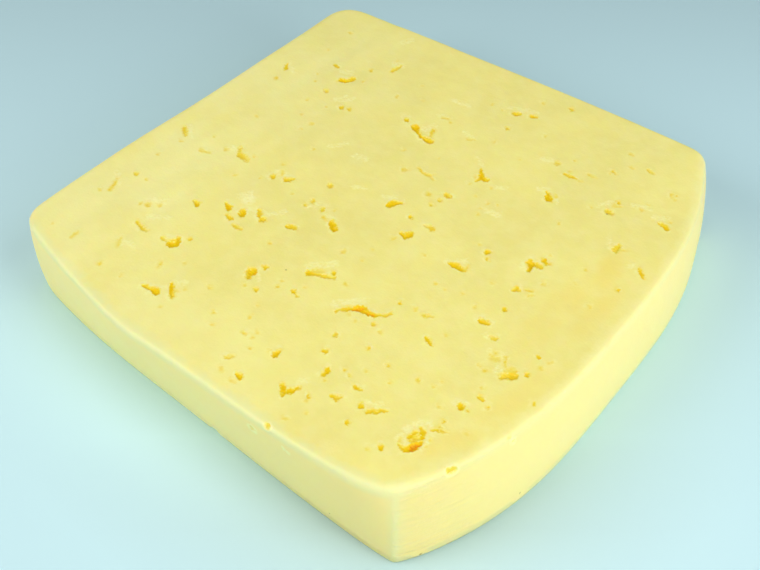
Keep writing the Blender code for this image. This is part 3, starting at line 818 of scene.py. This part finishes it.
def sculpt(slab, sizes):
    """Moves the vertices: the eyes and the relief on top, and the waves on the walls."""
    mesh = slab.data
    places = coordinates(mesh) / MM
    top = places[:, 2] > THICKNESS - RIM_DROP + 0.01
    sunk, amber, pale = carve(places[top], sizes)
    whole = np.zeros((3, len(places)))
    whole[0, top], whole[1, top] = amber, pale
    pressed = press_wall_pits(places, whole)
    set_float_attribute(mesh, "amber", whole[0])
    set_float_attribute(mesh, "pale", whole[1])
    set_float_attribute(mesh, "speck", whole[2])
    set_float_attribute(mesh, "wall", side_share(places))
    set_float_attribute(mesh, "rim_highlight", rim_highlight(places))
    set_float_attribute(mesh, "rim_warmth", rim_warmth(places))
    set_float_attribute(mesh, "cream", cream_share(places))
    set_float_attribute(mesh, "ridges", ridge_share(places))
    set_float_attribute(mesh, "corner", corner_share(places))
    # Painted highlight bands on the top along the two front rims
    set_float_attribute(mesh, "left_rim_highlight", edge_nearness(places, 0))
    set_float_attribute(mesh, "right_rim_highlight", edge_nearness(places, 1))
    outward = places[:, :2] / np.hypot(*places[:, :2].T)[:, None]
    relief = RELIEF_HEIGHT * np.array(
        [noise.noise(Vector((x, y, 0)) / RELIEF_WAVE) for x, y, _ in places[top]]
    )
    left_share = smooth((-20.0 - places[top, 0]) / 50.0)
    relief += STREAK_HEIGHT * (0.2 + left_share) * wave_at(places[top] * STREAK_SHAPE, STREAK_WAVE, 3.0)
    near_edge = smooth((places[top][:, 2] - (THICKNESS - RIM_DROP)) / RIM_DROP)
    wear = sizes.rim_wear * wave_at(places, 6.0, 4.4)
    swing = WALL_RELIEF * wave_at(places, WALL_WAVE)
    rim_share = smooth((places[:, 2] - (THICKNESS - 6.0)) / 5.0) * (side_share(places) + 0.15)
    wall_share = (places[:, 2] < THICKNESS - RIM_DROP - 0.1) & (places[:, 2] > FOOT_EDGE + 0.1)
    level = np.clip((places[:, 2] - FOOT_EDGE) / (THICKNESS - RIM_DROP - FOOT_EDGE), 0, 1)
    swell = WALL_SWELL * 4 * level * (1 - level)
    inward = pressed + np.abs(wear) * rim_share - swing * wall_share - swell
    places[:, :2] -= outward * inward[:, None]
    places[top, 2] += (relief - sunk) * near_edge
    places = nick_foot(places)
    set_coordinates(mesh, places * MM)


def press_wall_pits(places, whole):
    """Adds the rim's pits, chips and specks to the attributes, and tells how deep each is."""
    pressed = np.zeros(len(places))
    amber, pale, speck = whole
    rough = places + 0.5 * np.stack([wave_at(places, 1.6, 30 + 7 * k) for k in range(3)], axis=1)
    for x, y, z, size, depth in WALL_PITS:
        share = np.linalg.norm(rough - (x, y, z), axis=1) / size
        inside = smooth((1.1 - share) / 0.7)
        pressed = np.maximum(pressed, depth * inside)
        amber[:] = np.maximum(amber, 0.45 * min(depth * 1.6, 1) * inside)
        halo = np.exp(-((np.clip(share - 0.9, 0, None) * size / 0.9) ** 2))
        pale[:] = np.maximum(pale, halo if depth else 1.0 * inside)
    for x, y, z, half in SPECKS:
        share = np.linalg.norm(places - (x, y, z), axis=1) / half
        speck[:] = np.maximum(speck, smooth((1.3 - share) / 0.6))
    return pressed


def rim_depth(places):
    """How far down the rim a place lies: 0 on the top and 1 where the wall begins."""
    return (THICKNESS - places[:, 2]) / (RIM_DROP + droop(places[:, :2], 1.0))


def side_share(places):
    """1 on the walls and 0 on the top, with the change over the rim."""
    return smooth(rim_depth(places) / 0.7)


def rim_highlight(places):
    """A painted highlight: the thin pale line of the rim and of the upright edge at the front corner, and a pale
    line at the foot of the right front side.
    """
    depth = rim_depth(places)
    rim = smooth(depth / 0.3) * smooth((2.8 - depth) / 2.2)
    on_right_front = smooth((places[:, 0] - 93.0) / 3.0) * (places[:, 1] < 100)
    # Painted highlight where the foot of the right front side catches the light
    foot = smooth((1.9 - places[:, 2]) / 0.9) * on_right_front
    level = (places[:, 2] / THICKNESS)[:, None]
    corner = mix(np.array(FOOT_CORNERS[1]), np.array(RIM_CORNERS[1]), level)
    from_corner = np.hypot(*(places[:, :2] - corner).T)
    # Painted highlight along the upright front edge
    edge = np.exp(-((from_corner / 2.0) ** 2)) * side_share(places)
    return np.maximum.reduce((rim * (1 - 0.5 * on_right_front), 0.75 * edge, 0.9 * foot))


def rim_warmth(places):
    """The warm patches on the top beside the bowed right front side."""
    warmth = np.zeros(len(places))
    for x, y, length, width, turn in WARM_PATCHES:
        along = turned((1.0, 0.0), math.radians(turn))
        offset = places[:, :2] - (x, y)
        across = turned(along, math.pi / 2)
        share = np.hypot(offset @ along / (length / 2), offset @ across / (width / 2))
        warmth = np.maximum(warmth, smooth(1.3 - share))
    return warmth * (0.75 + 0.5 * wave_at(places, 11.0, 17.0))


def cream_share(places):
    """Where the top is paler: in a zone along the left, and in soft streaks over it."""
    zone = smooth((-30.0 - places[:, 0]) / 55.0) * (1 - 0.7 * smooth((places[:, 1] - 45.0) / 50.0))
    front = smooth((-70.0 - places[:, 1]) / 25.0) * smooth((60.0 - places[:, 0]) / 50.0)
    streaks = wave_at(places * STREAK_SHAPE, STREAK_WAVE, 23.0)
    blotches = wave_at(places, 19.0, 31.0)
    share = np.maximum(zone, 0.6 * front) * (0.7 + 0.5 * blotches) + 0.25 * streaks + 0.15 * blotches
    return np.clip(share, 0, 1)


def corner_share(places):
    """Where the walls are warmer, beside the front corner."""
    from_corner = np.hypot(*(places[:, :2] - np.array(RIM_CORNERS[1])).T)
    return np.exp(-((from_corner / CORNER_WARMTH_REACH) ** 2)) * side_share(places)


def edge_nearness(places, side):
    """1 at the rim of one side, and less farther in, down to 0 at the reach of its painted highlight band."""
    start, end = Vector(RIM_CORNERS[side]), Vector(RIM_CORNERS[side + 1])
    distance = np.full(len(places), RIM_HIGHLIGHT_REACH)
    for share in np.linspace(0, 1, SIDE_CELLS):
        spot = side_point(start, end, *RIM_BENDS[side], share)
        distance = np.minimum(distance, np.hypot(*(places[:, :2] - spot).T))
    return 1 - distance / RIM_HIGHLIGHT_REACH


def ridge_share(places):
    """Where the right front wall has fine ridges, near the front corner."""
    near = smooth((-68.0 - places[:, 1]) / 22.0) * smooth((places[:, 0] - 90.0) / 5.0)
    return near * side_share(places)


def nick_foot(places):
    """Presses a small nick into the foot of the left front side."""
    near = (np.abs(places[:, 0] - NICK_X) < NICK_LENGTH) & (places[:, 1] < -90)
    share = np.abs(places[near, 0] - NICK_X) / (NICK_LENGTH / 2)
    height = places[near, 2] / NICK_HEIGHT
    places[near, 1] += NICK_DEPTH * smooth(1 - share) * smooth(1 - height * 0.5)
    return places


class CHEESE_OT_slab(bpy.types.Operator):
    """Model the slab with all its eyes"""

    bl_idname = "cheese.slab"
    bl_label = "Model the slab"

    def execute(self, context):
        slab = make_slab()
        split_near_eyes(slab, context.scene.cheese_sizes.seed)
        sculpt(slab, context.scene.cheese_sizes)
        slab.data.shade_smooth()
        finish_paste(slab, context.scene.cheese_colors)
        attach(slab, "root")
        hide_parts("cheese")
        return {"FINISHED"}


class Nodes:
    """A short way to add and link the nodes of one material."""

    def __init__(self, material):
        material.use_nodes = True
        self.tree = material.node_tree
        self.shader = self.tree.nodes["Principled BSDF"]

    def add(self, kind, **inputs):
        node = self.tree.nodes.new(kind)
        for name, value in inputs.items():
            self.put(node, name.replace("_", " "), value)
        return node

    def put(self, node, socket, value):
        if isinstance(value, bpy.types.NodeSocket):
            self.tree.links.new(value, node.inputs[socket])
        else:
            node.inputs[socket].default_value = value

    def attribute(self, name):
        node = self.add("ShaderNodeAttribute")
        node.attribute_name = name
        return node.outputs["Fac"]

    def noise(self, scale, detail=4.0, roughness=0.55, stretch=(1, 1, 1)):
        place = self.tree.nodes.new("ShaderNodeTexCoord").outputs["Object"]
        mapping = self.add("ShaderNodeMapping", Vector=place, Scale=stretch)
        node = self.add(
            "ShaderNodeTexNoise",
            Vector=mapping.outputs["Vector"],
            Scale=scale,
            Detail=detail,
            Roughness=roughness,
        )
        return node.outputs["Fac"]

    def away_distance(self):
        """How far a place lies beyond the middle, as the camera sees it, in metres."""
        place = self.tree.nodes.new("ShaderNodeTexCoord").outputs["Object"]
        parts = self.add("ShaderNodeSeparateXYZ", Vector=place)
        across = self.times(parts.outputs["X"], AWAY[0])
        return self.plus(across, self.times(parts.outputs["Y"], AWAY[1]))

    def span(self, value, low, high, to_low=0.0, to_high=1.0):
        node = self.add("ShaderNodeMapRange", Value=value)
        for name, number in (
            ("From Min", low),
            ("From Max", high),
            ("To Min", to_low),
            ("To Max", to_high),
        ):
            node.inputs[name].default_value = number
        return node.outputs["Result"]

    def blend(self, factor, first, second):
        node = self.tree.nodes.new("ShaderNodeMix")
        node.data_type = "RGBA"
        self.put(node, 0, factor)
        for socket, value in ((6, first), (7, second)):
            if not isinstance(value, bpy.types.NodeSocket):
                value = (*value, 1.0) if len(value) == 3 else value
            self.put(node, socket, value)
        return node.outputs[2]

    def times(self, first, second):
        node = self.tree.nodes.new("ShaderNodeMath")
        node.operation = "MULTIPLY"
        self.put(node, 0, first)
        self.put(node, 1, second)
        return node.outputs[0]

    def plus(self, first, second):
        node = self.tree.nodes.new("ShaderNodeMath")
        node.operation = "ADD"
        self.put(node, 0, first)
        self.put(node, 1, second)
        return node.outputs[0]

    def bump(self, height, strength, distance, normal=None):
        node = self.add("ShaderNodeBump", Height=height, Strength=strength, Distance=distance)
        if normal is not None:
            self.put(node, "Normal", normal)
        return node.outputs["Normal"]


def scaled(color, factor):
    return tuple(min(channel * factor, 1.0) for channel in color)


def finish_paste(slab, colors):
    """Pale waxy paste: clouded on top, plainer on the walls, amber in the eyes."""
    material = bpy.data.materials.new("cheese_paste")
    nodes = Nodes(material)
    top = tuple(colors.top)
    clouds = nodes.span(nodes.noise(26.0, 3.0), 0.38, 0.62)
    mottle = nodes.span(nodes.noise(150.0, 4.0), 0.42, 0.7)
    warm = nodes.times(nodes.attribute("rim_warmth"), nodes.span(clouds, 0.0, 1.0, 0.5, 1.0))
    base = nodes.blend(clouds, scaled(top, 0.965), scaled(top, 1.02))
    base = nodes.blend(nodes.times(mottle, 0.2), base, tuple(colors.pale))
    base = nodes.blend(nodes.times(nodes.attribute("cream"), 0.42), base, tuple(colors.pale))
    base = nodes.blend(nodes.times(warm, 0.6), base, tuple(colors.warm))
    ragged = nodes.span(nodes.noise(140.0, 4.0), 0.3, 0.7, -0.2, 0.2)
    # Painted highlight: pale bands on the top along the two front rims
    for edge, strength, color in (("left_rim_highlight", 0.7, colors.rim), ("right_rim_highlight", 0.6, colors.pale)):
        band = nodes.span(nodes.plus(nodes.attribute(edge), ragged), 0.3, 0.9, 0.0, strength)
        base = nodes.blend(band, base, tuple(color))
    base = nodes.blend(nodes.attribute("wall"), base, tuple(colors.wall))
    base = nodes.blend(nodes.times(nodes.attribute("corner"), 0.25), base, tuple(colors.corner))
    # Painted highlight along the rim, the upright front edge and the right front foot
    base = nodes.blend(nodes.times(nodes.attribute("rim_highlight"), 0.7), base, tuple(colors.rim))
    # The pale share: painted highlights round the eyes, and the pale patches beside them
    pale = nodes.attribute("pale")
    crumbled = nodes.times(pale, nodes.span(nodes.noise(480.0, 4.0), 0.36, 0.6, 0.5, 1.2))
    base = nodes.blend(nodes.span(crumbled, 0.1, 1.0, 0.0, 0.95), base, tuple(colors.pale))
    flecks = nodes.times(pale, nodes.span(nodes.noise(650.0, 3.0), 0.56, 0.68, 0.0, 0.2))
    amber = nodes.plus(nodes.attribute("amber"), flecks)
    base = nodes.blend(nodes.span(amber, 0.0, 0.45), base, tuple(colors.soft_amber))
    base = nodes.blend(nodes.span(amber, 0.35, 0.8), base, tuple(colors.amber))
    base = nodes.blend(nodes.span(amber, 1.15, 1.5), base, tuple(colors.deep_amber))
    base = nodes.blend(nodes.times(nodes.attribute("speck"), 0.8), base, tuple(colors.speck))
    nodes.put(nodes.shader, "Base Color", base)
    nodes.put(nodes.shader, "Roughness", nodes.span(mottle, 0, 1, 0.45, 0.58))
    nodes.shader.inputs["Subsurface Weight"].default_value = 0.4
    nodes.shader.inputs["Subsurface Radius"].default_value = (1.0, 0.6, 0.08)
    nodes.shader.inputs["Subsurface Scale"].default_value = 0.0006
    nodes.shader.inputs["Specular IOR Level"].default_value = 0.25
    grain = nodes.bump(nodes.noise(1100.0, 3.0), 0.15, 0.0003)
    lumps = nodes.bump(crumbled, 0.1, 0.0005, grain)
    wave = nodes.bump(nodes.noise(190.0, 4.0), 0.2, 0.0008, lumps)
    ridges = nodes.noise(1.0, 2.0, stretch=(60.0, 60.0, 750.0))
    ridges = nodes.times(ridges, nodes.attribute("ridges"))
    combed = nodes.bump(ridges, 0.6, 0.001, wave)
    nodes.put(nodes.shader, "Normal", combed)
    slab.data.materials.clear()
    slab.data.materials.append(material)


# Each light's place and size in metres, its power in watts and its colour
STAGE_LIGHTS = (
    ("key_light", (0.9, 0.1, 1.0), 0.7, 4.4, (1.0, 0.965, 0.94)),
    ("low_light", (1.1, -0.1, 0.45), 0.6, 6.2, (1.0, 0.955, 0.93)),
    ("fill_light", (-0.6, -1.0, 0.8), 0.9, 10.6, (1.0, 0.945, 0.89)),
    ("top_light", (0.0, 0.0, 1.4), 0.9, 3.0, (1.0, 0.965, 0.94)),
)


def add_area_light(name, place, size, power, color):
    bpy.ops.object.light_add(type="AREA", location=place)
    light = bpy.context.object
    light.name = name
    light.data.shape = "DISK"
    light.data.size = size
    light.data.energy = power
    light.data.color = color
    aim = Vector((0, 0, 0.02)) - Vector(place)
    light.rotation_euler = aim.to_track_quat("-Z", "Y").to_euler()
    return light


class CHEESE_OT_stage(bpy.types.Operator):
    """Set the floor, the soft lights and the camera"""

    bl_idname = "cheese.stage"
    bl_label = "Set the stage"

    def execute(self, context):
        bpy.ops.object.select_all(action="DESELECT")
        bpy.ops.mesh.primitive_plane_add(size=6.0, location=(0, 0, 0))
        floor = context.object
        floor.name = "floor"
        material = bpy.data.materials.new("floor")
        nodes = Nodes(material)
        color = tuple(context.scene.cheese_colors.floor)
        # Painted shade: the floor is darker toward the back, away from the camera
        distance = nodes.away_distance()
        shade = nodes.span(distance, 0.0, 0.35)
        plain = nodes.blend(shade, color, scaled(color, 0.72))
        # Painted shadow: the floor darkens where the slab's foot hides it from the light, near the front sides
        openness = nodes.add("ShaderNodeAmbientOcclusion", Distance=0.06).outputs["AO"]
        painted_foot_shadow = nodes.times(
            nodes.span(openness, 0.5, 1.0, 0.5, 0.0), nodes.span(distance, -0.13, -0.09, 1.0, 0.0)
        )
        shaded = tuple(channel * share for channel, share in zip(color, (0.6, 0.52, 0.48)))
        nodes.put(nodes.shader, "Base Color", nodes.blend(painted_foot_shadow, plain, shaded))
        nodes.shader.inputs["Roughness"].default_value = 0.6
        nodes.shader.inputs["Specular IOR Level"].default_value = 0.2
        floor.data.materials.append(material)
        for light in STAGE_LIGHTS:
            add_area_light(*light)
        self.set_world(context)
        self.set_camera(context)
        return {"FINISHED"}

    def set_world(self, context):
        world = bpy.data.worlds.new("studio")
        world.use_nodes = True
        background = world.node_tree.nodes["Background"]
        background.inputs["Color"].default_value = (0.97, 0.99, 1.0, 1.0)
        background.inputs["Strength"].default_value = 0.22
        context.scene.world = world
        context.scene.view_settings.view_transform = "Standard"

    def set_camera(self, context):
        place = Vector(CAMERA_PLACE) * MM
        aim = Vector(CAMERA_TARGET) * MM - place
        bpy.ops.object.camera_add(location=place)
        camera = context.object
        camera.name = "camera"
        camera.rotation_euler = aim.to_track_quat("-Z", "Y").to_euler()
        camera.data.sensor_width = SENSOR_MM
        camera.data.lens = CAMERA_FOCUS_PX / PHOTO_WIDTH_PX * SENSOR_MM
        context.scene.camera = camera


class CHEESE_PT_panel(bpy.types.Panel):
    """The steps and settings of the cheese"""

    bl_label = "Tilsit cheese"
    bl_idname = "CHEESE_PT_panel"
    bl_space_type = "VIEW_3D"
    bl_region_type = "UI"
    bl_category = "Cheese"

    def draw(self, context):
        layout = self.layout
        for settings in (context.scene.cheese_sizes, context.scene.cheese_colors):
            for name in settings.__annotations__:
                layout.prop(settings, name)
        for step in STEPS:
            layout.operator(step.bl_idname)


STEPS = (CHEESE_OT_slab, CHEESE_OT_stage)
CLASSES = (CheeseSizes, CheeseColors, *STEPS, CHEESE_PT_panel)


def register():
    for item in CLASSES:
        bpy.utils.register_class(item)
    bpy.types.Scene.cheese_sizes = PointerProperty(type=CheeseSizes)
    bpy.types.Scene.cheese_colors = PointerProperty(type=CheeseColors)


def unregister():
    del bpy.types.Scene.cheese_colors
    del bpy.types.Scene.cheese_sizes
    for item in reversed(CLASSES):
        bpy.utils.unregister_class(item)


def main():
    register()
    bpy.ops.cheese.slab()
    bpy.ops.cheese.stage()


if __name__ == "__main__":
    main()
